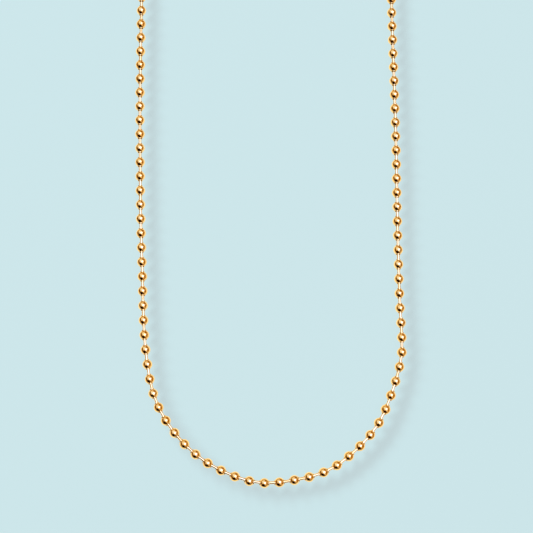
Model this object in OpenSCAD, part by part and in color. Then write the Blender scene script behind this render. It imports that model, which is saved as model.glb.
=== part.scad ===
// Ball chain necklace of gilt brass, lying flat as one closed loop.
// Hollow beads run on short headed links. A barrel clasp closes the loop at the back,
// and a jump ring beside it holds a small round tag.
// Millimetres, +Z up. The origin is under the middle of the loop, on the table.

/* [Beads] */
// Outside diameter of a bead
bead_d = 2.5; // [2.3:0.1:3.5]
// Wall of a bead
bead_wall = 0.2; // [0.15:0.05:0.25]
// Diameter of the hole at each end of a bead
bead_hole_d = 1.05; // [1:0.05:1.15]
// Outside diameter of the short neck round each hole
bead_neck_d = 1.25; // [1.2:0.05:1.4]

/* [Links] */
// Diameter of a link's wire
link_wire_d = 0.7; // [0.5:0.05:0.75]
// Length of wire that shows between two beads
link_gap = 1.3; // [1.1:0.1:2]
// Diameter of the head that keeps a link in its bead
link_head_d = 1.3; // [1.25:0.05:1.4]
// Thickness of that head
link_head_t = 0.35; // [0.2:0.05:0.4]

/* [Loop] */
// Length of the closed necklace along its beads, rounded to whole beads
necklace_length = 423; // [400:1:460]
// How far along the chain the clasp lies from the middle of the back
clasp_shift = 2.2; // [-3:0.1:3]

/* [Clasp] */
// Length of the barrel over its rounded ends
barrel_length = 8.5; // [8:0.5:12]
// Wall of the barrel
barrel_wall = 0.15; // [0.1:0.05:0.25]
// Outside radius of the rounding at the barrel's ends
barrel_round = 0.8; // [0.4:0.1:1.2]
// Diameter of the hole that a link leaves through, at each end
barrel_hole_d = 1.4; // [1.3:0.1:1.6]
// Width of the slot that a bead is pressed in through
barrel_slot_w = 1; // [0.9:0.1:1.2]
// Degrees that the slot points below the table's level, inside the loop
barrel_slot_dip = 30; // [0:5:60]

/* [Jump ring] */
// Outside diameter of the jump ring
ring_d = 4; // [3.8:0.1:5]
// Diameter of its wire
ring_wire_d = 0.6; // [0.4:0.05:0.7]
// Width of the cut where its ends meet
ring_cut = 0.1; // [0.05:0.05:0.3]
// Degrees round the ring, below its middle, at which the tag hangs
ring_tag_angle = 20; // [10:5:30]

/* [Tag] */
// Diameter of the round tag
tag_d = 7.2; // [6:0.2:9]
// Thickness of the tag at its edge
tag_edge_t = 0.4; // [0.3:0.05:0.5]
// Height of its domed face above the edge
tag_dome = 0.15; // [0.1:0.05:0.3]
// Bevel round the tag's edges
tag_bevel = 0.08; // [0.04:0.02:0.12]
// Diameter of its hole
tag_hole_d = 1.3; // [1.1:0.1:1.5]
// Metal left between that hole and the edge
tag_margin = 0.35; // [0.25:0.05:0.6]
// Diameter of the raised dots on its face
tag_dot_d = 0.4; // [0.3:0.05:0.5]
// Height of a dot above the face
tag_dot_h = 0.14; // [0.08:0.02:0.16]
// Distance between the rings of dots, which run round a dot in the middle
tag_dot_pitch = 0.82; // [0.7:0.02:0.84]

/* [Fit] */
// Gap between pieces that turn in or on each other
play = 0.1; // [0.05:0.01:0.12]

/* [Hidden] */
$fn = 48;
gilt = "goldenrod";

// Beads and links
bead_r = bead_d / 2;
hollow_r = bead_r - bead_wall;
link_pitch = bead_d + link_gap;
head_outer = sqrt(pow(hollow_r - play, 2) - pow(link_head_d / 2, 2));
head_inner = head_outer - link_head_t;

// Clasp barrel: it takes a bead at each end, and both rest against the rounded ends
barrel_hollow_d = bead_d + 2 * play;
barrel_d = barrel_hollow_d + 2 * barrel_wall;
end_bead_inset = barrel_wall + play + bead_r;
end_bead_span = barrel_length - 2 * end_bead_inset;

// The route of the chain, seen from above, from the right strand round the front to the
// left one. The strands run on straight behind it, and half a circle joins them.
ROUTE = [
    [33.5, 69], [33.8, 50], [34, 31], [34, 11.5], [34.2, -7.5], [34.5, -16], [34.4, -23.5], [32, -32],
    [28.5, -40], [23, -46.5], [15.5, -52], [6.5, -54.5], [-2.5, -55], [-11.5, -52], [-18.5, -47.5],
    [-24.5, -41], [-28.5, -33.5], [-30.5, -24.5], [-31.5, -14.5], [-32, -3], [-32.7, 12.5], [-33.2, 31],
    [-33.5, 50], [-33.5, 69]
];
steps = 12;
last = len(ROUTE) - 1;
arch_r = (ROUTE[0].x - ROUTE[last].x) / 2;
arch_x = (ROUTE[0].x + ROUTE[last].x) / 2;

// A smooth curve through the points of the route, with its ends pointing straight back
lead_in = [ROUTE[0] + [0, norm(ROUTE[0] - ROUTE[1])]];
lead_out = [ROUTE[last] + [0, norm(ROUTE[last] - ROUTE[last - 1])]];
guides = concat(lead_in, ROUTE, lead_out);
function curve(a, b, c, d, t) =
    (2 * b + (c - a) * t + (2 * a - 5 * b + 4 * c - d) * t * t + (3 * b - a - 3 * c + d) * t * t * t) / 2;
front = [
    for (i = [0:last - 1], k = [0:steps - 1])
        curve(guides[i], guides[i + 1], guides[i + 2], guides[i + 3], k / steps),
    ROUTE[last]
];

// Distance gone at each point of a path
function step_after(path, i) = i + 1 < len(path) ? norm(path[i + 1] - path[i]) : 0;
function travel(path) = [for (i = 0, s = 0; i < len(path); s = s + step_after(path, i), i = i + 1) s];
front_travel = travel(front);
front_length = front_travel[len(front) - 1];

// Whole beads, and the straight stretch at the back that gives the loop its full length
bead_count = round((necklace_length - end_bead_span) / link_pitch) + 1;
loop_length = (bead_count - 1) * link_pitch + end_bead_span;
back_run = (loop_length - front_length - PI * arch_r) / 2;
arch_y = ROUTE[0].y + back_run;

// The closed route from the top of the arch clockwise, against the distance along it
arch_steps = 24;
function arch_point(angle) = [arch_x + arch_r * cos(angle), arch_y + arch_r * sin(angle)];
loop = concat(
    [for (i = [0:arch_steps]) arch_point(90 - 90 * i / arch_steps)],
    front,
    [for (i = [0:arch_steps]) arch_point(180 - 90 * i / arch_steps)]
);
loop_travel = travel(loop);
loop_x = [for (i = [0:len(loop) - 1]) [loop_travel[i], loop[i].x]];
loop_y = [for (i = [0:len(loop) - 1]) [loop_travel[i], loop[i].y]];
function wrap(s) = s < 0 ? s + loop_length : s > loop_length ? s - loop_length : s;
function along(s) = [lookup(wrap(s), loop_x), lookup(wrap(s), loop_y)];

// Bead centres on the table, from the clasp clockwise. The two end beads sit in the barrel.
flat_beads = [for (i = [0:bead_count - 1]) along(clasp_shift + end_bead_span / 2 + i * link_pitch)];
flat_x = [for (p = flat_beads) p.x];
flat_y = [for (p = flat_beads) p.y];
barrel_flat = (flat_beads[0] + flat_beads[bead_count - 1]) / 2;
barrel_way = flat_beads[0] - flat_beads[bead_count - 1];
barrel_angle = atan2(barrel_way.y, barrel_way.x);
barrel_top = barrel_flat.y + barrel_d / 2 * cos(barrel_angle)
    + (barrel_length / 2 - barrel_round) * abs(sin(barrel_angle));
middle = [(min(flat_x) + max(flat_x)) / 2, (min(flat_y) - bead_r + barrel_top) / 2];
function is_end(i) = i == 0 || i == bead_count - 1;
BEADS = [
    for (i = [0:bead_count - 1])
        [flat_beads[i].x - middle.x, flat_beads[i].y - middle.y, is_end(i) ? barrel_d / 2 : bead_r]
];
barrel_centre = [barrel_flat.x - middle.x, barrel_flat.y - middle.y, barrel_d / 2];

// Jump ring: it stands on the table round the second link, drawn in by the tag
ring_r = (ring_d - ring_wire_d) / 2;
ring_link = (BEADS[1] + BEADS[2]) / 2;
ring_link_way = BEADS[2] - BEADS[1];
inward_angle = atan2(ring_link_way.y, ring_link_way.x) - 90;
inward = [cos(inward_angle), sin(inward_angle), 0];
ring_reach = ring_r - ring_wire_d / 2 - link_wire_d / 2 - play;
ring_offset = sqrt(pow(ring_reach, 2) - pow(ring_d / 2 - ring_link.z, 2));
ring_centre = [ring_link.x, ring_link.y, ring_d / 2] + inward * ring_offset;

// Tag: its hole is on the ring's wire, and its far edge rests on the table
tag_r = tag_d / 2;
tag_hole_r = tag_hole_d / 2;
tag_hole_offset = tag_r - tag_margin - tag_hole_r;
tag_hung = ring_centre + inward * ring_r * cos(ring_tag_angle) - [0, 0, ring_r * sin(ring_tag_angle)];
tag_tilt = asin((tag_hung.z - tag_edge_t / 2) / (tag_hole_offset + tag_r));
tag_dome_r = (pow(tag_r, 2) + pow(tag_dome, 2)) / (2 * tag_dome);
tag_dome_base = tag_edge_t / 2 + tag_dome - tag_dome_r;
tag_dot_ball_r = (pow(tag_dot_d / 2, 2) + pow(tag_dot_h, 2)) / (2 * tag_dot_h);
tag_dot_rings = floor((tag_hole_offset - tag_hole_r - tag_dot_d / 2) / tag_dot_pitch);

// How far a cut runs past what it cuts, and the facets of the dome's large sphere
cut = 1;
dome_facets = 240;

// Turns what points up into the direction v
module point_along(v) {
    rotate([0, acos(v.z / norm(v)), atan2(v.y, v.x)]) children();
}

// Half outline of one bead: a round wall with a short neck at each hole
module bead_outline() {
    difference() {
        union() {
            circle(r = bead_r);
            translate([0, -bead_r]) square([bead_neck_d / 2, 2 * bead_r]);
        }
        circle(r = hollow_r);
        translate([-bead_d, -bead_d]) square([bead_d + bead_hole_d / 2, 2 * bead_d]);
    }
}

module bead() {
    rotate_extrude() bead_outline();
}

// One link along +Z, centred: a wire with a flat head at each end
module link(pitch) {
    head_r = link_head_d / 2;
    wire_r = link_wire_d / 2;
    inner = pitch / 2 - head_outer;
    outer = pitch / 2 - head_inner;
    rotate_extrude() polygon([
        [0, -outer], [head_r, -outer], [head_r, -inner], [wire_r, -inner],
        [wire_r, inner], [head_r, inner], [head_r, outer], [0, outer]
    ]);
}

module beads() {
    color(gilt) for (i = [0:bead_count - 1]) {
        before = BEADS[max(i - 1, 0)];
        after = BEADS[min(i + 1, bead_count - 1)];
        translate(BEADS[i]) point_along(after - before) bead();
    }
}

module links() {
    color(gilt) for (i = [0:bead_count - 2]) {
        way = BEADS[i + 1] - BEADS[i];
        translate((BEADS[i] + BEADS[i + 1]) / 2) point_along(way) link(norm(way));
    }
}

// Half outline of a drum with rounded rims, of radius r and half length h
module rounded_half(r, h, round_r) {
    intersection() {
        translate([0, -h]) square([r, 2 * h]);
        union() {
            translate([0, -h]) square([r - round_r, 2 * h]);
            translate([0, round_r - h]) square([r, 2 * (h - round_r)]);
            for (side = [-1, 1]) translate([r - round_r, side * (h - round_r)]) circle(r = round_r);
        }
    }
}

module clasp_barrel() {
    color(gilt) translate(barrel_centre) rotate([0, 0, barrel_angle]) rotate([0, 90, 0]) difference() {
        rotate_extrude() difference() {
            rounded_half(barrel_d / 2, barrel_length / 2, barrel_round);
            rounded_half(barrel_hollow_d / 2, barrel_length / 2 - barrel_wall, barrel_round - barrel_wall);
        }
        cylinder(d = barrel_hole_d, h = barrel_length + 2 * cut, center = true);
        rotate([0, 0, barrel_slot_dip - 90]) translate([0, -barrel_slot_w / 2, -barrel_length / 2 - cut])
            cube([barrel_d, barrel_slot_w, barrel_length + 2 * cut]);
    }
}

module jump_ring() {
    color(gilt) translate(ring_centre) rotate([0, 0, inward_angle]) rotate([90, 0, 0]) difference() {
        rotate_extrude() translate([ring_r, 0]) circle(d = ring_wire_d);
        rotate([0, 0, 120]) translate([0, -ring_cut / 2, -ring_wire_d])
            cube([ring_d, ring_cut, 2 * ring_wire_d]);
    }
}

// Raised dots on the tag's domed face, a plain pattern: one in the middle, six in the first
// ring and six more in each ring after it
module tag_dots() {
    sink = tag_dot_ball_r - tag_dot_h;
    for (ring = [0:tag_dot_rings]) {
        dots = max(1, 6 * ring);
        ring_r = ring * tag_dot_pitch;
        face_z = tag_dome_base + sqrt(pow(tag_dome_r, 2) - pow(ring_r, 2));
        for (k = [0:dots - 1])
            rotate([0, 0, 360 * k / dots]) translate([ring_r, 0, face_z - sink]) sphere(r = tag_dot_ball_r);
    }
}

// Half outline of the tag's disc, bevelled at both edges, with room above it for the dome
module tag_outline(half_t, top) {
    rim_r = tag_r - tag_bevel;
    polygon([
        [0, -half_t], [rim_r, -half_t], [tag_r, tag_bevel - half_t],
        [tag_r, half_t - tag_bevel], [rim_r, half_t], [rim_r, top], [0, top]
    ]);
}

module tag_disc() {
    half_t = tag_edge_t / 2;
    top = half_t + tag_dome + tag_dot_h;
    color(gilt) translate(tag_hung) rotate([0, tag_tilt, inward_angle]) translate([tag_hole_offset, 0, 0])
        difference() {
            union() {
                intersection() {
                    rotate_extrude() tag_outline(half_t, top);
                    translate([0, 0, tag_dome_base]) sphere(r = tag_dome_r, $fn = dome_facets);
                }
                tag_dots();
            }
            translate([-tag_hole_offset, 0, 0]) cylinder(r = tag_hole_r, h = 4 * top, center = true);
        }
}

beads();
links();
clasp_barrel();
jump_ring();
tag_disc();
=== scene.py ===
# %% [markdown]
# A ball chain necklace, dressed for its picture
#
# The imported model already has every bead, link and fitting at its real size and place. This
# lesson makes the visible pieces around it: turned beads and links strung by Geometry Nodes,
# a slotted barrel, a wire ring and a domed tag, all in gilt brass. Polished metal shows
# little but what stands round it, so the last cells, on the light, matter as much as the
# meshes do.

# %% Load the frame
import math

import bmesh
import bpy
import numpy as np
from mathutils import Matrix, Vector


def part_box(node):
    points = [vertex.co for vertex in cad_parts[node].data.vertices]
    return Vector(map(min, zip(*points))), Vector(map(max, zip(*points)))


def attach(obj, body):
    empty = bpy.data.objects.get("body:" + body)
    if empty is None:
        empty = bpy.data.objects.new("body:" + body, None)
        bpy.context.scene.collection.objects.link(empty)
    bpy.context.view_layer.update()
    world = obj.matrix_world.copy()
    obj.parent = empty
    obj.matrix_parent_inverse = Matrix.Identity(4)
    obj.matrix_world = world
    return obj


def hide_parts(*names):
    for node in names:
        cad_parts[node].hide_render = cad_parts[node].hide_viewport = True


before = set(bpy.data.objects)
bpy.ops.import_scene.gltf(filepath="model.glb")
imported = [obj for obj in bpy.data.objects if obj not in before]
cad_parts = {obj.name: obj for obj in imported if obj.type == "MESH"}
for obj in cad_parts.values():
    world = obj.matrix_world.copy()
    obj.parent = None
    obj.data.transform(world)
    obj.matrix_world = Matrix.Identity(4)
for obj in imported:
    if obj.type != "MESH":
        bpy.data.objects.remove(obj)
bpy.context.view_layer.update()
MM = 0.001
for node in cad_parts:
    low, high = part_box(node)
    print(node, "measures", [round((b - a) / MM, 2) for a, b in zip(low, high)], "mm")

# %% [markdown]
# The camera
#
# The necklace lies on a table and is seen almost from above, a little from the front. A
# long lens keeps the strands nearly parallel. The loop runs out of the top of the picture,
# as it does in the photograph, so the camera aims at a point nearer to the front.

# %% Camera
SENSOR = 36.0
LENS = 86.3
CAMERA_ELEVATION = math.radians(80)
CAMERA_DISTANCE = 330 * MM
AIM = Vector((-0.53, -32.25, 1.25)) * MM

towards_camera = Vector((0, -math.cos(CAMERA_ELEVATION), math.sin(CAMERA_ELEVATION)))
camera = bpy.data.objects.new("camera", bpy.data.cameras.new("camera"))
bpy.context.scene.collection.objects.link(camera)
bpy.context.scene.camera = camera
camera.data.sensor_width = SENSOR
camera.data.lens = LENS
camera.data.clip_start = 10 * MM
camera.location = AIM + towards_camera * CAMERA_DISTANCE
camera.rotation_euler = towards_camera.to_track_quat("Z", "Y").to_euler()
print("camera at", [round(v / MM, 1) for v in camera.location], "mm")

# %% [markdown]
# Where the beads are
#
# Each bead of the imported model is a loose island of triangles, and the middle of the
# island's box is the middle of its bead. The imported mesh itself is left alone: a copy in
# bmesh has its doubled corners merged, and then a walk along the edges finds each island.

# %% The islands' middles
def island_middles(obj):
    """Middles of the boxes of a mesh's loose parts, in metres."""
    mesh = bmesh.new()
    mesh.from_mesh(obj.data)
    bmesh.ops.remove_doubles(mesh, verts=mesh.verts, dist=1e-7)
    seen = set()
    middles = []
    for start in mesh.verts:
        if start in seen:
            continue
        seen.add(start)
        found = [start]
        for vert in found:
            for edge in vert.link_edges:
                other = edge.other_vert(vert)
                if other not in seen:
                    seen.add(other)
                    found.append(other)
        points = np.array([vert.co for vert in found])
        middles.append((points.min(0) + points.max(0)) / 2)
    mesh.free()
    return np.array(middles)


loose_middles = island_middles(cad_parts["beads"])
print(len(loose_middles), "beads found")

# %% [markdown]
# In order along the chain
#
# The two end beads sit inside the barrel and so lie a little higher than the others. The
# string starts at the one beside the jump ring. From there each next bead is the nearest
# one that isn't strung yet, because two neighbours are closer than the two end beads are.

# %% Bead places
def strung(middles, start):
    """The middles in the order in which they lie on the chain."""
    left = list(range(len(middles)))
    order = [start]
    left.remove(start)
    while left:
        here = middles[order[-1]]
        order.append(min(left, key=lambda i: np.linalg.norm(middles[i] - here)))
        left.remove(order[-1])
    return middles[order]


ring_middle = np.array(sum(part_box("jump_ring"), Vector())) / 2
two_ends = np.argsort(loose_middles[:, 2])[-2:]
first = min(two_ends, key=lambda i: np.linalg.norm(loose_middles[i] - ring_middle))
beads_at = strung(loose_middles, first)
pitches = np.linalg.norm(np.diff(beads_at, axis=0), axis=1)
PITCH = float(np.median(pitches))
print("pitch", round(PITCH / MM, 3), "mm, longest step", round(pitches.max() / MM, 3), "mm")

# %% [markdown]
# From corners to a smooth piece
#
# Polished metal needs smooth shading, and real edges need to stay sharp. One helper sees to both for
# every mesh that is built by hand here. It also gives each corner two values for the finish: its own
# place in the shape, in millimetres, and how recessed it is, which tells the metal where to paint
# shade, darker and duller in the recesses.

# %% A smooth piece with its two values
SHARP_FROM = math.radians(40)


def finished(name, mesh, recess=None, place=None, material=None):
    """A mesh object with smooth faces, sharp corners and the two values for its finish."""
    bmesh.ops.recalc_face_normals(mesh, faces=mesh.faces)
    data = bpy.data.meshes.new(name)
    mesh.to_mesh(data)
    mesh.free()
    data.shade_smooth()
    data.set_sharp_from_angle(angle=SHARP_FROM)
    own = np.empty(len(data.vertices) * 3, np.float32)
    data.vertices.foreach_get("co", own)
    data.attributes.new("own_place", "FLOAT_VECTOR", "POINT").data.foreach_set("vector", own / MM)
    values = np.zeros(len(data.vertices), np.float32) if recess is None else recess
    data.attributes.new("recess", "FLOAT", "POINT").data.foreach_set("value", values)
    if place is not None:
        data.transform(place)
    if material is not None:
        data.materials.append(material)
    return bpy.data.objects.new(name, data)


# %% [markdown]
# Turned shapes
#
# A bead, a link and a dot of the tag are shapes of revolution, so one helper turns an
# outline of radius and height pairs round the Z axis, like a lathe. An outline that keeps
# off the axis is closed on itself and gives a hollow shape. Blender's Screw modifier does
# the same, but the helper keeps the number of faces in sight, and it passes the recess of
# each point of the outline on to a whole ring of corners.

# %% The lathe
def lathe(name, outline, sides, recess):
    """Turns [radius, height] pairs in metres. Recess holds a value from 0 to 1 for each pair."""
    mesh = bmesh.new()
    turns = [2 * math.pi * k / sides for k in range(sides)]
    rings = []
    for radius, height in outline:
        here = turns if radius else turns[:1]
        rings.append([
            mesh.verts.new((radius * math.cos(a), radius * math.sin(a), height)) for a in here
        ])
    follow = rings[1:] + rings[:1] if outline[0][0] else rings[1:]
    for low, high in zip(rings, follow):
        for k in range(sides):
            n = (k + 1) % sides
            corners = (
                low[k % len(low)], low[n % len(low)], high[n % len(high)], high[k % len(high)]
            )
            # A corner on the axis comes up twice, and a face takes it once
            mesh.faces.new(dict.fromkeys(corners))
    spread = [value for value, ring in zip(recess, rings) for _ in ring]
    return finished(name, mesh, spread)


def arc(radius, start, end, steps, middle=(0, 0)):
    """Radius and height pairs on a circle, from one angle to another, in degrees."""
    angles = [math.radians(start + (end - start) * k / steps) for k in range(steps + 1)]
    return [(middle[0] + radius * math.cos(a), middle[1] + radius * math.sin(a)) for a in angles]


# %% [markdown]
# One bead
#
# A bead is rolled up from thin strip: a hollow ball whose two ends draw in to a short neck
# round a hole, with the wire's head caught inside. The shape is hollow here too, with a
# wall of its own. It keeps to 16 sides, because the chain has more than a hundred of them,
# and smooth shading makes up for the rest.

# %% Bead shape
BEAD_R = 1.25 * MM
BEAD_WALL = 0.2 * MM
HOLE_R = 0.525 * MM
NECK_R = 0.625 * MM
BEAD_SIDES = 16
BALL_STEPS = 6
HOLLOW_STEPS = 2
# How much painted shade each ring of the outline gets: a little towards the necks, most at the holes
# and inside the hollow
NECK_RECESS = [0.9, 0.2]
BALL_RECESS = [0.3, 0.05, 0, 0, 0, 0.05, 0.3]

hollow_r = BEAD_R - BEAD_WALL
neck_latitude = math.degrees(math.acos(NECK_R / BEAD_R))
hole_latitude = math.degrees(math.acos(HOLE_R / hollow_r))
other_neck = [(HOLE_R, -BEAD_R), (NECK_R, -BEAD_R)]
ball = arc(BEAD_R, -neck_latitude, neck_latitude, BALL_STEPS)
neck = [(NECK_R, BEAD_R), (HOLE_R, BEAD_R)]
hollow = arc(hollow_r, hole_latitude, -hole_latitude, HOLLOW_STEPS)
bead_recess = NECK_RECESS + BALL_RECESS + NECK_RECESS[::-1] + [1] * len(hollow)
bead_shape = lathe("bead_shape", other_neck + ball + neck + hollow, BEAD_SIDES, bead_recess)
print("bead", len(bead_shape.data.polygons), "faces")

# %% [markdown]
# One link
#
# A link is a short wire with a flat head at each end. Only the wire shows between two beads, and the
# heads turn inside them, so ten sides are enough. The wire is bright, and the heads get the same
# painted shade as the inside of the beads, darker and duller.

# %% Link shape
WIRE_R = 0.35 * MM
HEAD_R = 0.65 * MM
HEAD_T = 0.35 * MM
PLAY = 0.1 * MM
LINK_SIDES = 10
# Painted shade on the heads inside the beads, none on the wire
HALF_LINK_RECESS = [0, 1, 1, 1]

head_out = math.sqrt((hollow_r - PLAY) ** 2 - HEAD_R ** 2)
head_low = PITCH / 2 - head_out
head_high = head_low + HEAD_T
half_link = [(WIRE_R, head_low), (HEAD_R, head_low), (HEAD_R, head_high), (0, head_high)]
other_half = [(r, -h) for r, h in reversed(half_link)]
link_recess = HALF_LINK_RECESS[::-1] + HALF_LINK_RECESS
link_shape = lathe("link_shape", other_half + half_link, LINK_SIDES, link_recess)
print("link", len(link_shape.data.polygons), "faces,", round(2 * head_high / MM, 2), "mm long")

# %% [markdown]
# Gilt metal
#
# All the pieces are brass with a thin gold plating. What makes a metallic shader look
# handled is laid over it in layers: a slow change of tone, a gloss that wanders between
# polished and slightly dull, the soft waviness of rolled sheet, and hairlines that run the
# way the piece was drawn or turned. Each layer reads the piece's own place, so that a
# bead's pattern turns with the bead, and each copy's tone shifts the pattern to another
# part of the noise, so that no two beads are alike. Noise scales count per millimetre.

# %% A helper for node trees
def add(tree, kind, inputs=None, **settings):
    """Adds a node. Inputs names or numbers sockets, and gives a value or another socket."""
    node = tree.nodes.new(kind)
    for key, value in settings.items():
        setattr(node, key, value)
    for key, value in (inputs or {}).items():
        if isinstance(value, bpy.types.NodeSocket):
            tree.links.new(value, node.inputs[key])
        else:
            node.inputs[key].default_value = value
    return node


def calc(tree, operation, *values):
    """The result of a Math node on two or three values or sockets."""
    return add(tree, "ShaderNodeMath", dict(enumerate(values)), operation=operation).outputs[0]


# %% Colour of the plating
SHEET_GOLD = ((1.0, 0.77, 0.34, 1), (1.0, 0.67, 0.21, 1))
WIRE_GOLD = ((1.0, 0.82, 0.44, 1), (1.0, 0.66, 0.22, 1))
EDGE_GOLD = (1.0, 0.88, 0.62, 1)
# Dark brown of the painted shade in the recesses, which the bead's seam line takes too
SHADE_AND_SEAM_BROWN = (0.28, 0.12, 0.03, 1)
CLOUD_SCALE = 0.8


def plating_colour(tree, place, tone, shade_and_seam, golds):
    """The colour socket of gold that drifts between two tones, with painted shade in the recesses and
    a dark seam line.
    """
    clouds = add(tree, "ShaderNodeTexNoise", {"Vector": place, "Scale": CLOUD_SCALE, "Detail": 3.0})
    share = add(
        tree, "ShaderNodeMapRange",
        {"Value": calc(tree, "ADD", clouds.outputs["Fac"], tone), "From Min": 0.4, "From Max": 1.2}
    )
    plating = add(
        tree, "ShaderNodeMix", {0: share.outputs[0], 6: golds[0], 7: golds[1]}, data_type="RGBA"
    )
    return add(
        tree, "ShaderNodeMix", {0: shade_and_seam, 6: plating.outputs[2], 7: SHADE_AND_SEAM_BROWN}, data_type="RGBA"
    ).outputs[2]


# %% Gloss and unevenness
SMEAR_SCALE = 2.5
WAVE_SCALE = 1.1
WAVE_DEPTH = 0.2 * MM
LINE_DEPTH = 0.004 * MM


def handled_gloss(tree, place, roughness):
    """The socket of a roughness that wanders between polished and slightly dull."""
    smears = add(tree, "ShaderNodeTexNoise", {"Vector": place, "Scale": SMEAR_SCALE, "Detail": 4.0})
    return add(
        tree, "ShaderNodeMapRange",
        {"Value": smears.outputs["Fac"], "From Min": 0.35, "From Max": 0.7,
         "To Min": roughness * 0.6, "To Max": roughness * 1.6}
    ).outputs[0]


def worked_surface(tree, place, waviness, hairlines, grain):
    """The normal socket of wavy rolled sheet with fine lines in it."""
    waves = add(tree, "ShaderNodeTexNoise", {"Vector": place, "Scale": WAVE_SCALE, "Detail": 1.0})
    rolled = add(
        tree, "ShaderNodeBump",
        {"Height": waves.outputs["Fac"], "Strength": waviness, "Distance": WAVE_DEPTH}
    )
    drawn = add(tree, "ShaderNodeMapping", {"Vector": place, "Scale": grain})
    lines = add(tree, "ShaderNodeTexNoise", {"Vector": drawn.outputs[0], "Scale": 1.0})
    return add(
        tree, "ShaderNodeBump",
        {"Height": lines.outputs["Fac"], "Strength": hairlines, "Distance": LINE_DEPTH,
         "Normal": rolled.outputs[0]}
    ).outputs[0]


# %% Gilt finish
TONE_SHIFT = 90.0
# How dark and how dull the painted shade in the recesses gets
PAINTED_SHADE_MOST = 0.8
RECESS_AND_SEAM_ROUGHNESS = 0.3


def gilt(name, roughness, waviness, hairlines, grain, golds=SHEET_GOLD, seam=0.0):
    """Plated brass. Grain gives the hairlines' closeness along the piece's own X, Y and Z."""
    material = bpy.data.materials.new(name)
    material.use_nodes = True
    tree = material.node_tree
    tree.nodes.clear()
    own = add(tree, "ShaderNodeAttribute", attribute_name="own_place").outputs["Vector"]
    tone = add(tree, "ShaderNodeAttribute", attribute_name="piece_tone").outputs["Fac"]
    recess = add(tree, "ShaderNodeAttribute", attribute_name="recess").outputs["Fac"]
    shift = calc(tree, "MULTIPLY", tone, TONE_SHIFT)
    place = add(tree, "ShaderNodeVectorMath", {0: own, 1: shift}, operation="ADD").outputs[0]
    # Painted shade: recessed corners are mixed towards dark brown and made duller, and on beads the
    # seam line is darkened the same way
    shade_and_seam = calc(tree, "MULTIPLY", recess, PAINTED_SHADE_MOST)
    if seam:
        parts = add(tree, "ShaderNodeSeparateXYZ", {0: own}).outputs
        near = calc(tree, "LESS_THAN", calc(tree, "ABSOLUTE", parts["Y"]), seam)
        front = calc(tree, "GREATER_THAN", parts["X"], 0.0)
        shade_and_seam = calc(tree, "MAXIMUM", shade_and_seam, calc(tree, "MULTIPLY", near, front))
    gloss = calc(
        tree, "MULTIPLY_ADD", shade_and_seam, RECESS_AND_SEAM_ROUGHNESS, handled_gloss(tree, place, roughness)
    )
    shader = add(
        tree, "ShaderNodeBsdfPrincipled",
        {"Base Color": plating_colour(tree, place, tone, shade_and_seam, golds), "Metallic": 1.0,
         "Specular Tint": EDGE_GOLD, "Roughness": gloss,
         "Normal": worked_surface(tree, place, waviness, hairlines, grain)}
    )
    add(tree, "ShaderNodeOutputMaterial", {"Surface": shader.outputs[0]})
    return material


# %% [markdown]
# One finish for each kind of piece
#
# The same gilt looks different on each piece, by the way it was made. Beads are rolled up
# from strip and keep a hairline seam on one side. Wire is drawn, so its lines run along it
# and it has no waves. The barrel and the tag are cut from flatter sheet.

# %% The five finishes
bead_gilt = gilt("bead_gilt", 0.06, waviness=0.2, hairlines=0.2, grain=(6, 6, 30), seam=0.03)
link_gilt = gilt(
    "link_gilt", 0.12, waviness=0.0, hairlines=0.05, grain=(20, 20, 1), golds=WIRE_GOLD
)
clasp_gilt = gilt("clasp_gilt", 0.08, waviness=0.06, hairlines=0.3, grain=(5, 5, 30))
ring_gilt = gilt("ring_gilt", 0.11, waviness=0.1, hairlines=0.35, grain=(40, 40, 3))
tag_gilt = gilt("tag_gilt", 0.09, waviness=0.07, hairlines=0.25, grain=(30, 4, 4))
print("finishes", [m.name for m in (bead_gilt, link_gilt, clasp_gilt, ring_gilt, tag_gilt)])

# %% [markdown]
# Setting out copies with Geometry Nodes
#
# The same shape sits at more than a hundred places, each turned along the chain. That is
# what Geometry Nodes are for. The modifier's object is a bare mesh with one corner at each
# place, and each corner carries the direction that its copy faces. The tree turns the
# shape that way, gives it a random turn about its own axis and a random tone, and makes
# the copies real, because an export drops instances.

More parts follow.
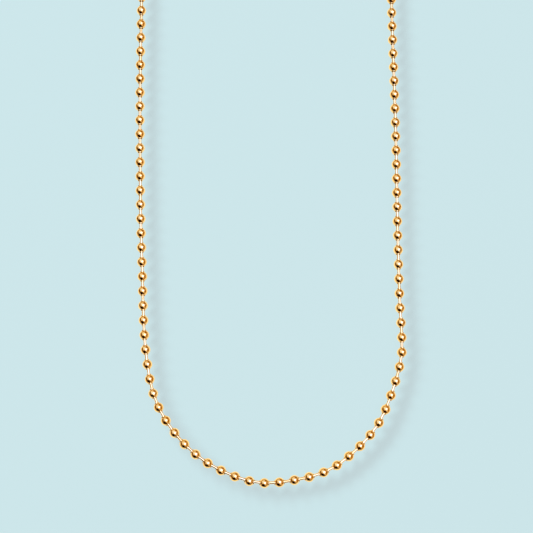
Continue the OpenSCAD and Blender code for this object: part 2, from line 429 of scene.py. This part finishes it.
# %% The tree that sets out copies
def setting_out():
    """A tree that puts a copy of a shape at each corner of a bare mesh."""
    tree = bpy.data.node_groups.new("setting_out", "GeometryNodeTree")
    tree.is_modifier = True
    for label, kind in (
        ("Places", "Geometry"), ("Shape", "Object"), ("Largest turn", "Float"),
        ("Seed", "Int"), ("Finish", "Material"),
    ):
        tree.interface.new_socket(label, in_out="INPUT", socket_type="NodeSocket" + kind)
    tree.interface.new_socket("Copies", in_out="OUTPUT", socket_type="NodeSocketGeometry")
    given = tree.nodes.new("NodeGroupInput").outputs
    shape = add(tree, "GeometryNodeObjectInfo", {"Object": given["Shape"]})
    faces = add(
        tree, "GeometryNodeInputNamedAttribute", {"Name": "faces_way"}, data_type="FLOAT_VECTOR"
    )
    aligned = add(
        tree, "FunctionNodeAlignRotationToVector", {"Vector": faces.outputs["Attribute"]}, axis="Z"
    )
    spin = add(
        tree, "FunctionNodeRandomValue",
        {2: 0.0, 3: given["Largest turn"], "Seed": given["Seed"]}, data_type="FLOAT"
    )
    about = add(
        tree, "FunctionNodeAxisAngleToRotation", {"Axis": (0, 0, 1), "Angle": spin.outputs[1]}
    )
    turned = add(
        tree, "FunctionNodeRotateRotation",
        {"Rotation": aligned.outputs[0], "Rotate By": about.outputs[0]}, rotation_space="LOCAL"
    )
    copies = add(
        tree, "GeometryNodeInstanceOnPoints",
        {"Points": given["Places"], "Instance": shape.outputs["Geometry"],
         "Rotation": turned.outputs[0]}
    )
    tone = add(
        tree, "FunctionNodeRandomValue", {2: 0.0, 3: 0.5, "Seed": given["Seed"]}, data_type="FLOAT"
    )
    toned = add(
        tree, "GeometryNodeStoreNamedAttribute",
        {"Geometry": copies.outputs[0], "Name": "piece_tone", "Value": tone.outputs[1]},
        data_type="FLOAT", domain="INSTANCE"
    )
    real = add(tree, "GeometryNodeRealizeInstances", {"Geometry": toned.outputs[0]})
    coated = add(
        tree, "GeometryNodeSetMaterial",
        {"Geometry": real.outputs[0], "Material": given["Finish"]}
    )
    add(tree, "NodeGroupOutput", {"Copies": coated.outputs[0]})
    return tree


# %% [markdown]
# Making a tree's result real
#
# A modifier's input is set by its socket's identifier. The object's result is then read
# from the dependency graph and kept as a plain mesh, and the object with the modifier is
# deleted.

# %% From a tree to a plain mesh
def made_real(name, base, tree, values):
    """A plain mesh object from a Geometry Nodes tree that is put on a base object."""
    bpy.context.scene.collection.objects.link(base)
    modifier = base.modifiers.new(tree.name, "NODES")
    modifier.node_group = tree
    for item in tree.interface.items_tree:
        if item.name in values:
            modifier[item.identifier] = values[item.name]
    seen = base.evaluated_get(bpy.context.evaluated_depsgraph_get())
    data = bpy.data.meshes.new_from_object(seen)
    data.name = name
    bpy.data.objects.remove(base)
    return bpy.data.objects.new(name, data)


def places(points, ways):
    """A bare mesh with a corner at each point, which carries the way that its copy faces."""
    data = bpy.data.meshes.new("places")
    data.from_pydata([tuple(p) for p in points], [], [])
    data.attributes.new("faces_way", "FLOAT_VECTOR", "POINT").data.foreach_set(
        "vector", np.array(ways, np.float32).ravel()
    )
    return bpy.data.objects.new("places", data)


def put_in(piece):
    """Shows a piece in the scene and says how many faces it has."""
    bpy.context.scene.collection.objects.link(piece)
    print(piece.name, len(piece.data.polygons), "faces")
    return piece


# %% [markdown]
# Beads and links on their string
#
# A bead faces from the bead before it to the bead after it, and a link from one bead to
# the next. That way the wire always leaves a bead through its hole, in bends too.

# %% Beads and links
copy_tree = setting_out()
before = beads_at[[0, *range(len(beads_at) - 1)]]
after = beads_at[[*range(1, len(beads_at)), -1]]
beads = put_in(made_real("ball_beads", places(beads_at, after - before), copy_tree, {
    "Shape": bead_shape, "Largest turn": math.radians(360), "Seed": 7, "Finish": bead_gilt,
}))
link_ways = np.diff(beads_at, axis=0)
link_places = places(beads_at[:-1] + link_ways / 2, link_ways)
links = put_in(made_real("wire_links", link_places, copy_tree, {
    "Shape": link_shape, "Largest turn": math.radians(360), "Seed": 11, "Finish": link_gilt,
}))

# %% [markdown]
# The barrel
#
# The clasp is a drum of thin sheet with rounded ends. A slot runs down its side and out
# into the hole at each end, so that an end bead can be pressed in from the side and drawn
# along. The wall is turned like a bead, but each ring of corners starts and stops where the
# slot's straight sides cut it. The outer and the inner outline have the same number of
# points, so the slot's sides are simple strips between them. A Bevel modifier takes the
# sharpness off the sheet's edges.

# %% Barrel wall
BARREL_LENGTH = 8.5 * MM
BARREL_WALL = 0.15 * MM
BARREL_ROUND = 0.8 * MM
BARREL_HOLE_R = 0.7 * MM
BARREL_EDGE = 0.03 * MM
BARREL_EDGE_FROM = math.radians(50)
# Painted shade on the inner face of the drum
INSIDE_RECESS = 0.9
SLOT_W = 1.0 * MM
SLOT_DIP = math.radians(30)
BARREL_STEPS = 40
ROUND_STEPS = 6

barrel_r = BEAD_R + PLAY + BARREL_WALL


def barrel_outline():
    """The sheet's cross section: the outer face from end to end, then the inner face back."""
    half = BARREL_LENGTH / 2
    corner = (barrel_r - BARREL_ROUND, half - BARREL_ROUND)
    inner_round = BARREL_ROUND - BARREL_WALL
    outer = arc(BARREL_ROUND, 0, 90, ROUND_STEPS, corner) + [(BARREL_HOLE_R, half)]
    inner = arc(inner_round, 0, 90, ROUND_STEPS, corner) + [(BARREL_HOLE_R, half - BARREL_WALL)]
    return (
        [(r, -h) for r, h in reversed(outer)] + outer
        + list(reversed(inner)) + [(r, -h) for r, h in inner]
    )


def slotted_wall(outline):
    """The outline turned round Z, but for the slot, which opens towards +X."""
    mesh = bmesh.new()
    rings = []
    for radius, height in outline:
        gap = math.asin(SLOT_W / 2 / radius)
        span = 2 * math.pi - 2 * gap
        turns = [gap + span * k / BARREL_STEPS for k in range(BARREL_STEPS + 1)]
        rings.append([
            mesh.verts.new((radius * math.cos(a), radius * math.sin(a), height)) for a in turns
        ])
    for low, high in zip(rings, rings[1:] + rings[:1]):
        for k in range(BARREL_STEPS):
            mesh.faces.new((low[k], low[k + 1], high[k + 1], high[k]))
    for side in (0, -1):
        edge = [ring[side] for ring in rings]
        for k in range(len(edge) // 2 - 1):
            mesh.faces.new((edge[k], edge[k + 1], edge[-k - 2], edge[-k - 1]))
    return mesh


# %% [markdown]
# The drum is built standing on the origin and then laid between the two end beads, with its
# slot turned to the lower inner side.

# %% Barrel in its place
barrel_way = Vector(beads_at[0] - beads_at[-1])
barrel_place = (
    Matrix.Translation(Vector(beads_at[0] + beads_at[-1]) / 2)
    @ Matrix.Rotation(math.atan2(barrel_way.y, barrel_way.x), 4, "Z")
    @ Matrix.Rotation(math.radians(90), 4, "Y")
    @ Matrix.Rotation(SLOT_DIP - math.radians(90), 4, "Z")
)
outline = barrel_outline()
faces_recess = [0.0] * (len(outline) // 2) + [INSIDE_RECESS] * (len(outline) // 2)
barrel_recess = [value for value in faces_recess for _ in range(BARREL_STEPS + 1)]
drum = finished("drum", slotted_wall(outline), barrel_recess, barrel_place, clasp_gilt)
bpy.context.scene.collection.objects.link(drum)
bevel = drum.modifiers.new("edges", "BEVEL")
bevel.width = BARREL_EDGE
bevel.segments = 2
bevel.limit_method = "ANGLE"
bevel.angle_limit = BARREL_EDGE_FROM
drum_seen = drum.evaluated_get(bpy.context.evaluated_depsgraph_get())
barrel = put_in(
    bpy.data.objects.new("slotted_barrel", bpy.data.meshes.new_from_object(drum_seen))
)
bpy.data.objects.remove(drum)

# %% [markdown]
# The jump ring
#
# A jump ring is one turn of wire with its two ends pressed together, and the join stays
# visible. A tree draws the arc and sweeps a round section along it. The section's place and
# the distance along the wire are stored on the curves first, so that the drawn lines of the
# finish can follow the wire.

# %% The tree that bends a wire
def bent_wire():
    """A tree that sweeps a round wire along an arc and keeps each corner's place on the wire."""
    tree = bpy.data.node_groups.new("bent_wire", "GeometryNodeTree")
    tree.is_modifier = True
    for label, kind in (
        ("Ring radius", "Float"), ("Wire radius", "Float"), ("Start", "Float"),
        ("Sweep", "Float"), ("Finish", "Material"),
    ):
        tree.interface.new_socket(label, in_out="INPUT", socket_type="NodeSocket" + kind)
    tree.interface.new_socket("Ring", in_out="OUTPUT", socket_type="NodeSocketGeometry")
    given = tree.nodes.new("NodeGroupInput").outputs
    path = add(
        tree, "GeometryNodeCurveArc",
        {"Resolution": 64, "Radius": given["Ring radius"], "Start Angle": given["Start"],
         "Sweep Angle": given["Sweep"]}
    )
    gone = add(tree, "GeometryNodeSplineParameter").outputs["Length"]
    measured = add(
        tree, "GeometryNodeStoreNamedAttribute",
        {"Geometry": path.outputs["Curve"], "Name": "wire_run", "Value": gone},
        data_type="FLOAT", domain="POINT"
    )
    section = add(
        tree, "GeometryNodeCurvePrimitiveCircle", {"Resolution": 20, "Radius": given["Wire radius"]}
    )
    marked = add(
        tree, "GeometryNodeStoreNamedAttribute",
        {"Geometry": section.outputs["Curve"], "Name": "wire_section",
         "Value": add(tree, "GeometryNodeInputPosition").outputs[0]},
        data_type="FLOAT_VECTOR", domain="POINT"
    )
    swept = add(
        tree, "GeometryNodeCurveToMesh",
        {"Curve": measured.outputs[0], "Profile Curve": marked.outputs[0], "Fill Caps": True}
    )
    run = add(tree, "GeometryNodeInputNamedAttribute", {"Name": "wire_run"}, data_type="FLOAT")
    across = add(
        tree, "GeometryNodeInputNamedAttribute", {"Name": "wire_section"}, data_type="FLOAT_VECTOR"
    )
    along = add(tree, "ShaderNodeCombineXYZ", {"Z": run.outputs["Attribute"]})
    both = add(
        tree, "ShaderNodeVectorMath", {0: across.outputs["Attribute"], 1: along.outputs[0]},
        operation="ADD"
    )
    in_mm = add(
        tree, "ShaderNodeVectorMath", {0: both.outputs[0], "Scale": 1 / MM}, operation="SCALE"
    )
    owned = add(
        tree, "GeometryNodeStoreNamedAttribute",
        {"Geometry": swept.outputs[0], "Name": "own_place", "Value": in_mm.outputs[0]},
        data_type="FLOAT_VECTOR", domain="POINT"
    )
    real = add(tree, "GeometryNodeRealizeInstances", {"Geometry": owned.outputs[0]})
    coated = add(
        tree, "GeometryNodeSetMaterial",
        {"Geometry": real.outputs[0], "Material": given["Finish"]}
    )
    add(tree, "NodeGroupOutput", {"Ring": coated.outputs[0]})
    return tree


# %% [markdown]
# The ring stands on the table round the second link and leans against its wire. The tag
# draws it inwards, so its middle is as far inside the loop as the play lets it go.

# %% Jump ring
RING_R = 1.7 * MM
RING_WIRE_R = 0.3 * MM
RING_CUT = 0.1 * MM
RING_CUT_AT = math.radians(120)

ring_link = Vector(beads_at[1] + beads_at[2]) / 2
ring_link_way = Vector(beads_at[2] - beads_at[1])
inward_angle = math.atan2(ring_link_way.y, ring_link_way.x) - math.radians(90)
inward = Vector((math.cos(inward_angle), math.sin(inward_angle), 0))
ring_reach = RING_R - RING_WIRE_R - WIRE_R - PLAY
ring_height = RING_R + RING_WIRE_R
ring_offset = math.sqrt(ring_reach ** 2 - (ring_height - ring_link.z) ** 2)
ring_centre = Vector((ring_link.x, ring_link.y, ring_height)) + inward * ring_offset
cut_half = math.asin(RING_CUT / 2 / RING_R)
bare = bpy.data.objects.new("wire", bpy.data.meshes.new("wire"))
ring = made_real("jump_ring_wire", bare, bent_wire(), {
    "Ring radius": RING_R, "Wire radius": RING_WIRE_R, "Start": RING_CUT_AT + cut_half,
    "Sweep": 2 * math.pi - 2 * cut_half, "Finish": ring_gilt,
})
ring.data.transform(
    Matrix.Translation(ring_centre)
    @ Matrix.Rotation(inward_angle, 4, "Z") @ Matrix.Rotation(math.radians(90), 4, "X")
)
ring.data.set_sharp_from_angle(angle=SHARP_FROM)
put_in(ring)

# %% [markdown]
# The tag
#
# The tag is a small stamped disc with a slightly domed, polished face and an off-centre
# hole. Its faces run in rings that change step by step from the hole's circle to the rim's,
# so there is no cut through a flat face, and the dome stays smooth. Both edges have a small
# round bevel, which catches the light as a thin bright line.

# %% Tag disc
TAG_R = 3.6 * MM
TAG_T = 0.4 * MM
TAG_DOME = 0.15 * MM
TAG_BEVEL = 0.08 * MM
TAG_HOLE_R = 0.65 * MM
TAG_MARGIN = 0.35 * MM
TAG_STEPS = 96
TAG_RINGS = 14
BEVEL_STEPS = 3

hole_offset = TAG_R - TAG_MARGIN - TAG_HOLE_R
dome_r = (TAG_R ** 2 + TAG_DOME ** 2) / (2 * TAG_DOME)
dome_base = TAG_T / 2 + TAG_DOME - dome_r


def face_height(x, y):
    """The height of the domed face."""
    return dome_base + math.sqrt(dome_r ** 2 - x ** 2 - y ** 2)


def tag_circle(mesh, share, radius_in, drop=0.0, height=None):
    """A ring of corners, from the hole at share 0 to the rim at share 1, moved in from there."""
    middle = -hole_offset * (1 - share)
    radius = TAG_HOLE_R + (TAG_R - TAG_HOLE_R) * share + radius_in
    ring = []
    for k in range(TAG_STEPS):
        a = 2 * math.pi * k / TAG_STEPS
        x, y = middle + radius * math.cos(a), radius * math.sin(a)
        ring.append(mesh.verts.new((x, y, face_height(x, y) - drop if height is None else height)))
    return ring


def tag_mesh():
    """The disc as rings of faces: up through the hole's lower bevel and out, round and back."""
    mesh = bmesh.new()
    under = -TAG_T / 2
    corner = arc(TAG_BEVEL, 0, 90, BEVEL_STEPS)
    rings = [
        tag_circle(mesh, 0, TAG_BEVEL - r, height=under + TAG_BEVEL - h) for r, h in corner
    ]
    rings += [
        tag_circle(mesh, 1, r - TAG_BEVEL, height=under + TAG_BEVEL - h)
        for r, h in reversed(corner)
    ]
    rings += [tag_circle(mesh, 1, r - TAG_BEVEL, drop=TAG_BEVEL - h) for r, h in corner]
    rings += [tag_circle(mesh, 1 - k / TAG_RINGS, 0) for k in range(1, TAG_RINGS)]
    rings += [
        tag_circle(mesh, 0, TAG_BEVEL - r, drop=TAG_BEVEL - h) for r, h in reversed(corner)
    ]
    for low, high in zip(rings, rings[1:] + rings[:1]):
        for k in range(TAG_STEPS):
            n = (k + 1) % TAG_STEPS
            mesh.faces.new((low[k], low[n], high[n], high[k]))
    return mesh


disc = finished("disc", tag_mesh(), material=tag_gilt)
print("disc", len(disc.data.polygons), "faces")

# %% [markdown]
# Raised dots on the tag
#
# The face carries a plain stamped pattern: a dot in the middle and two rings of dots round
# it. Each dot is a low dome whose foot runs out in a soft flare, as stamped metal does. The
# same tree as before sets them out, each facing straight out of the dome below it.

# %% Dots
DOT_R = 0.2 * MM
DOT_H = 0.14 * MM
DOT_PITCH = 0.82 * MM
DOT_RINGS = 2
DOT_FOOT = 0.07 * MM
DOT_SINK = 0.03 * MM
DOT_SIDES = 16
# The dome above the foot, as shares of the dot's radius and height
DOT_DOME = [(0.93, 0.34), (0.72, 0.7), (0.4, 0.93), (0, 1)]
# Painted shade at each dot's foot, where it meets the face, fading up the dome
DOT_RECESS = [0.9, 0.9, 0.6, 0.1, 0, 0, 0]

foot = [
    (0, -DOT_SINK), (DOT_R + DOT_FOOT, -DOT_SINK), (DOT_R + DOT_FOOT / 3, 0.1 * DOT_H)
]
dome = [(DOT_R * across, DOT_H * up) for across, up in DOT_DOME]
dot_shape = lathe("dot_shape", foot + dome, DOT_SIDES, DOT_RECESS)
dots_at = [Vector((0, 0, face_height(0, 0)))]
for ring_number in range(1, DOT_RINGS + 1):
    for k in range(6 * ring_number):
        a = 2 * math.pi * k / (6 * ring_number)
        x, y = ring_number * DOT_PITCH * math.cos(a), ring_number * DOT_PITCH * math.sin(a)
        dots_at.append(Vector((x, y, face_height(x, y))))
dome_middle = Vector((0, 0, dome_base))
dots = made_real("dots", places(dots_at, [p - dome_middle for p in dots_at]), copy_tree, {
    "Shape": dot_shape, "Largest turn": 0.0, "Seed": 3, "Finish": tag_gilt,
})
print(len(dots_at), "dots")

# %% [markdown]
# The whole tag
#
# Disc and dots become one mesh, with one material. The tag hangs on the ring's wire by its
# hole, and its far edge rests on the table, which gives the angle at which it leans.

# %% Tag in its place
TAG_AT = math.radians(20)
hung = ring_centre + inward * RING_R * math.cos(TAG_AT) - Vector((0, 0, RING_R * math.sin(TAG_AT)))
tilt = math.asin((hung.z - TAG_T / 2) / (hole_offset + TAG_R))
whole = bmesh.new()
whole.from_mesh(disc.data)
whole.from_mesh(dots.data)
for face in whole.faces:
    face.material_index = 0
tag = disc
whole.to_mesh(tag.data)
whole.free()
tag.name = "round_tag"
tag.data.transform(
    Matrix.Translation(hung) @ Matrix.Rotation(inward_angle, 4, "Z")
    @ Matrix.Rotation(tilt, 4, "Y") @ Matrix.Translation((hole_offset, 0, 0))
)
put_in(tag)
print("the tag leans", round(math.degrees(tilt), 1), "degrees")

# %% [markdown]
# What each piece stands for
#
# Every node of the imported model now has a piece that stands for it, in the same place and of the
# same size. How far each piece's box lies from its node's box is printed, so a slip would show at
# once.

# %% Ride and replace
for piece, node, slot in (
    (beads, "beads", "bead_gilt"), (links, "links", "link_gilt"),
    (barrel, "clasp_barrel", "clasp_gilt"), (ring, "jump_ring", "ring_gilt"),
    (tag, "tag_disc", "tag_gilt"),
):
    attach(piece, "root")
    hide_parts(node)
    corners = np.array([v.co for v in piece.data.vertices])
    off = [corners.min(0) - np.array(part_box(node)[0]), corners.max(0) - np.array(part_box(node)[1])]
    print(piece.name, "differs from its node by", np.round(np.array(off) / MM, 3).tolist(), "mm")

# %% [markdown]
# The table
#
# The necklace lies on a thin sheet of clear acrylic over pale blue paper that is lit from
# below. That is why the photograph has no dark lines under the beads, and only a faint
# soft shadow that falls on the paper a little to the side of them. The paper gives most of
# its light itself, and a weak diffuse colour is added for the shadow to fall on. The
# metal sees the paper warmer than the camera does.

# %% Paper
STAGE_HALF = 1.5
SHEET_T = 1.2 * MM
PAPER_GLOW = (0.518, 0.633, 0.646, 1)
PAPER_MIRRORED = (1.08, 0.96, 0.84, 1)
PAPER_MATT = (0.0154, 0.027, 0.0286, 1)


def flat_stage(name, height):
    """A large level square that isn't part of the object, with an empty material."""
    data = bpy.data.meshes.new(name)
    corners = [(-1, -1), (1, -1), (1, 1), (-1, 1)]
    data.from_pydata(
        [(x * STAGE_HALF, y * STAGE_HALF, height) for x, y in corners], [], [(0, 1, 2, 3)]
    )
    obj = bpy.data.objects.new(name, data)
    bpy.context.scene.collection.objects.link(obj)
    material = bpy.data.materials.new(name)
    material.use_nodes = True
    material.node_tree.nodes.clear()
    data.materials.append(material)
    return obj, material


_, paper = flat_stage("paper", -SHEET_T)
paper.cycles.emission_sampling = "NONE"
tree = paper.node_tree
to_camera = add(tree, "ShaderNodeLightPath").outputs["Is Camera Ray"]
own_light = add(
    tree, "ShaderNodeMix", {0: to_camera, 6: PAPER_MIRRORED, 7: PAPER_GLOW}, data_type="RGBA"
)
matt = add(tree, "ShaderNodeBsdfDiffuse", {"Color": PAPER_MATT})
glow = add(tree, "ShaderNodeEmission", {"Color": own_light.outputs[2]})
both = add(tree, "ShaderNodeAddShader", {0: matt.outputs[0], 1: glow.outputs[0]})
add(tree, "ShaderNodeOutputMaterial", {"Surface": both.outputs[0]})
print("paper", round(SHEET_T / MM, 1), "mm below the necklace")

# %% [markdown]
# The clear sheet can't be seen from above, so it is transparent to the camera. In the
# beads it does show: at a low angle it mirrors the dark far end of the room, and that
# gives each bead its brown arc just inside the bright rim.

# %% Clear sheet
ACRYLIC_IOR = 1.49
ACRYLIC_ROUGHNESS = 0.02
SHINE_GAIN = 2.0
SHINE_START = 0.05

sheet, acrylic = flat_stage("clear_sheet", 0)
sheet.visible_shadow = False
sheet.visible_diffuse = False
tree = acrylic.node_tree
to_camera = add(tree, "ShaderNodeLightPath").outputs["Is Camera Ray"]
mirrored = add(tree, "ShaderNodeFresnel", {"IOR": ACRYLIC_IOR}).outputs[0]
low_angle = calc(tree, "MULTIPLY", calc(tree, "SUBTRACT", mirrored, SHINE_START), SHINE_GAIN)
low_angle = calc(tree, "MAXIMUM", calc(tree, "MINIMUM", low_angle, 1.0), 0.0)
to_metal = calc(tree, "MULTIPLY", low_angle, calc(tree, "SUBTRACT", 1.0, to_camera))
clear = add(tree, "ShaderNodeBsdfTransparent")
shine = add(tree, "ShaderNodeBsdfGlossy", {"Roughness": ACRYLIC_ROUGHNESS})
surface = add(tree, "ShaderNodeMixShader", {0: to_metal, 1: clear.outputs[0], 2: shine.outputs[0]})
add(tree, "ShaderNodeOutputMaterial", {"Surface": surface.outputs[0]})
print(sheet.name, "shows only in the metal")

# %% [markdown]
# The surroundings in the metal
#
# A polished bead is a tiny round mirror of the whole room, so its look is painted on the
# sky: a bright softbox near the zenith gives the white spot, a black flag at the front
# gives the dark crescent, a brown band at the horizon gives the brown arcs near a bead's
# edge, and the sheet below gives its bright rim. Each patch is laid over the one before
# it. Its azimuth and elevation say where it stands, counted from the right and from the
# horizon, and its radius and softness how far it reaches, all in degrees.

# %% One patch of the sky
def patch(tree, toward, under, azimuth, elevation, radius, softness, colour):
    """A soft round patch of colour on the sky, over what is there already. Angles in degrees."""
    way = Vector((0, math.cos(math.radians(elevation)), math.sin(math.radians(elevation))))
    way.rotate(Matrix.Rotation(math.radians(azimuth - 90), 3, "Z"))
    near = add(tree, "ShaderNodeVectorMath", {0: toward, 1: way}, operation="DOT_PRODUCT")
    amount = add(
        tree, "ShaderNodeMapRange",
        {"Value": near.outputs["Value"],
         "From Min": math.cos(math.radians(radius + softness)),
         "From Max": math.cos(math.radians(max(radius - softness, 0)))},
        interpolation_type="SMOOTHSTEP"
    )
    return add(
        tree, "ShaderNodeMix", {0: amount.outputs[0], 6: under, 7: (*colour, 1)}, data_type="RGBA"
    ).outputs[2]


# %% The patches
# Azimuth, elevation, radius, softness and colour of each
PATCHES = {
    "pale wall": (125, 42, 24, 9, (0.92, 0.86, 0.86)),
    "brown at the back right": (58, 18, 23, 5, (0.36, 0.135, 0.022)),
    "brown on the left": (170, 16, 20, 5, (0.24, 0.09, 0.015)),
    "brown on the right": (-8, 8, 32, 6, (0.42, 0.165, 0.028)),
    "dark brown in front": (-100, 4, 43, 6, (0.15, 0.05, 0.006)),
    "dark brown at the front left": (-158, 26, 17, 5, (0.15, 0.055, 0.008)),
    "black flag": (-112, 33, 30, 4, (0.010, 0.002, 0.0004)),
    "white card": (140, 58, 13, 7, (1.0, 1.1, 1.7)),
    "softbox": (14, 75, 22, 4, (2.3, 2.8, 5.4)),
}
print(len(PATCHES), "patches")

# %% [markdown]
# The sky under the patches
#
# Low down the sky is brown, and from 8 to 26 degrees up it turns pale. The camera sees
# none of it: past the paper's far edge it sees plain pale blue.

# %% Surroundings
BAND_FROM = math.radians(8)
BAND_TO = math.radians(26)
BROWN = (0.56, 0.27, 0.07, 1)
PALE = (0.88, 0.69, 0.54, 1)
BACKDROP = (0.603, 0.790, 0.820, 1)

world = bpy.data.worlds.new("surroundings")
bpy.context.scene.world = world
world.use_nodes = True
tree = world.node_tree
tree.nodes.clear()
toward = add(tree, "ShaderNodeTexCoord").outputs["Generated"]
height = add(tree, "ShaderNodeSeparateXYZ", {0: toward}).outputs["Z"]
band = add(
    tree, "ShaderNodeMapRange",
    {"Value": height, "From Min": math.sin(BAND_FROM), "From Max": math.sin(BAND_TO)},
    interpolation_type="SMOOTHSTEP"
)
sky = add(
    tree, "ShaderNodeMix", {0: band.outputs[0], 6: BROWN, 7: PALE}, data_type="RGBA"
).outputs[2]
for where_and_colour in PATCHES.values():
    sky = patch(tree, toward, sky, *where_and_colour)
to_camera = add(tree, "ShaderNodeLightPath").outputs["Is Camera Ray"]
shown = add(tree, "ShaderNodeMix", {0: to_camera, 6: sky, 7: BACKDROP}, data_type="RGBA")
background = add(tree, "ShaderNodeBackground", {"Color": shown.outputs[2]})
add(tree, "ShaderNodeOutputWorld", {"Surface": background.outputs[0]})
print(world.name, "painted with", len(tree.nodes), "nodes")

# %% [markdown]
# The strip light
#
# The soft shadows lie to the right of the strands and in front of them. So one long, weak
# strip light stands at the back on the left. It is wide from side to side, which runs the
# shadows of the beads together into one soft band. It isn't mirrored in the metal, because
# the sky already shows what stands there.

# %% Strip light
STRIP_FROM = math.radians(140)
STRIP_ELEVATION = math.radians(30)
STRIP_DISTANCE = 4.0
STRIP_WIDTH = 3.1
STRIP_HEIGHT = 0.8
STRIP_POWER = 1775.0

strip = bpy.data.objects.new("strip_light", bpy.data.lights.new("strip_light", "AREA"))
strip.data.shape = "RECTANGLE"
strip.data.size = STRIP_WIDTH
strip.data.size_y = STRIP_HEIGHT
strip.data.energy = STRIP_POWER
strip.visible_glossy = False
from_there = Vector((
    math.cos(STRIP_FROM) * math.cos(STRIP_ELEVATION),
    math.sin(STRIP_FROM) * math.cos(STRIP_ELEVATION), math.sin(STRIP_ELEVATION),
))
strip.location = from_there * STRIP_DISTANCE
strip.rotation_euler = from_there.to_track_quat("Z", "Y").to_euler()
bpy.context.scene.collection.objects.link(strip)
print("strip light at", [round(v, 2) for v in strip.location], "m")

# %% [markdown]
# The last cell sets Standard colours, which keep the pale sheet as pale as it is, and removes the
# shapes that were only there to be copied.

# %% Colours and leftovers
bpy.context.scene.view_settings.view_transform = "Standard"
for leftover in (bead_shape, link_shape, dot_shape, dots):
    bpy.data.objects.remove(leftover)
